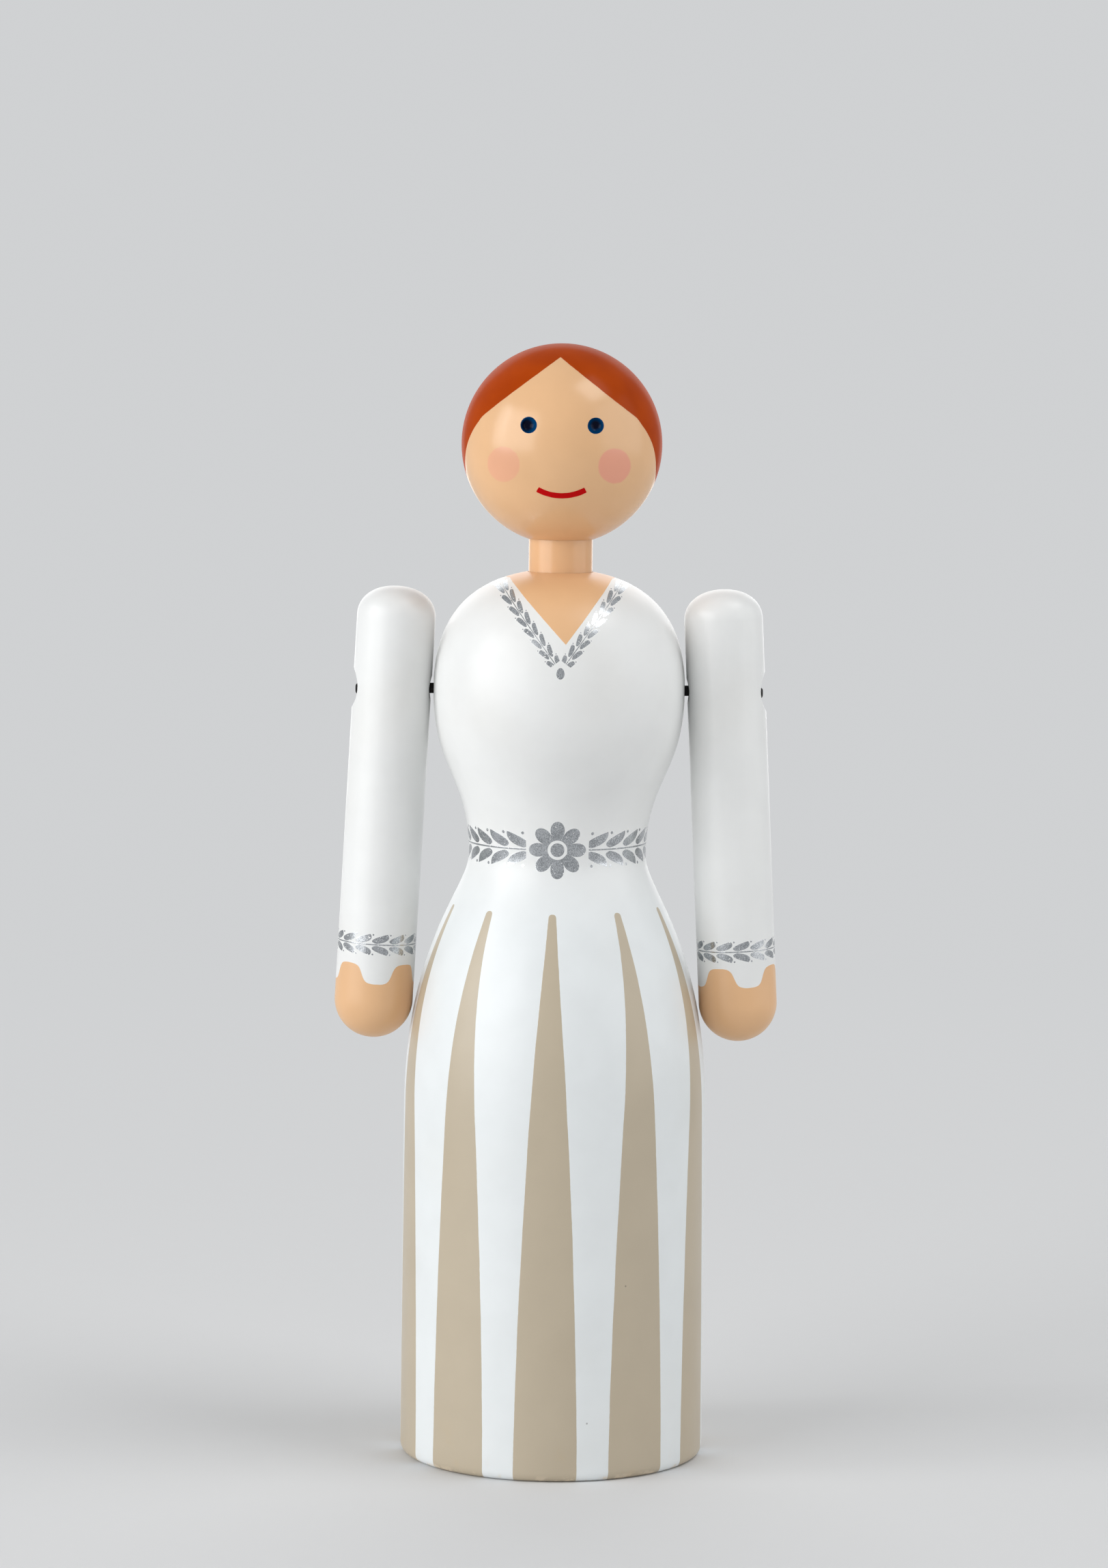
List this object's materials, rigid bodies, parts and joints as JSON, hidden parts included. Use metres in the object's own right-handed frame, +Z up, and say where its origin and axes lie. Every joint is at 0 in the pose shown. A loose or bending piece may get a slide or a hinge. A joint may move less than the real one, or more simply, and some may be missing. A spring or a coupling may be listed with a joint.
{
  "type": "wooden figurine",
  "caption": "Turned and painted wooden bride figurine with a ball head that turns on a neck dowel and dowel arms that swing on an elastic cord strung through the chest",
  "frame": {"origin": "middle of the flat base that the figurine stands on", "axes": "+Z is up along the figurine, it faces -Y, and its own left arm is on +X"},
  "size_m": [0.0672, 0.0462, 0.1687],
  "materials": {
    "white_paint": "satin painted",
    "skin_paint": "satin painted",
    "black_elastic": "braided"
  },
  "bodies": {
    "figure": {"body": "white_paint", "neck_dowel": "skin_paint", "shoulder_elastic": "black_elastic"},
    "head": {"head": "skin_paint"},
    "arm_left": {"arm_left": "white_paint"},
    "arm_right": {"arm_right": "white_paint"}
  },
  "joints": [
    {"name": "head_turn", "type": "hinge", "parent": "figure", "child": "head", "pos_m": [0, 0, 0.1433], "axis": [0, 0, 1], "continuous": true},
    {"name": "arm_left_swing", "type": "hinge", "parent": "figure", "child": "arm_left", "pos_m": [0.02524, 0, 0.1166], "axis": [1, 0, 0], "continuous": true},
    {"name": "arm_right_swing", "type": "hinge", "parent": "figure", "child": "arm_right", "pos_m": [-0.02524, 0, 0.1166], "axis": [1, 0, 0], "continuous": true}
  ]
}
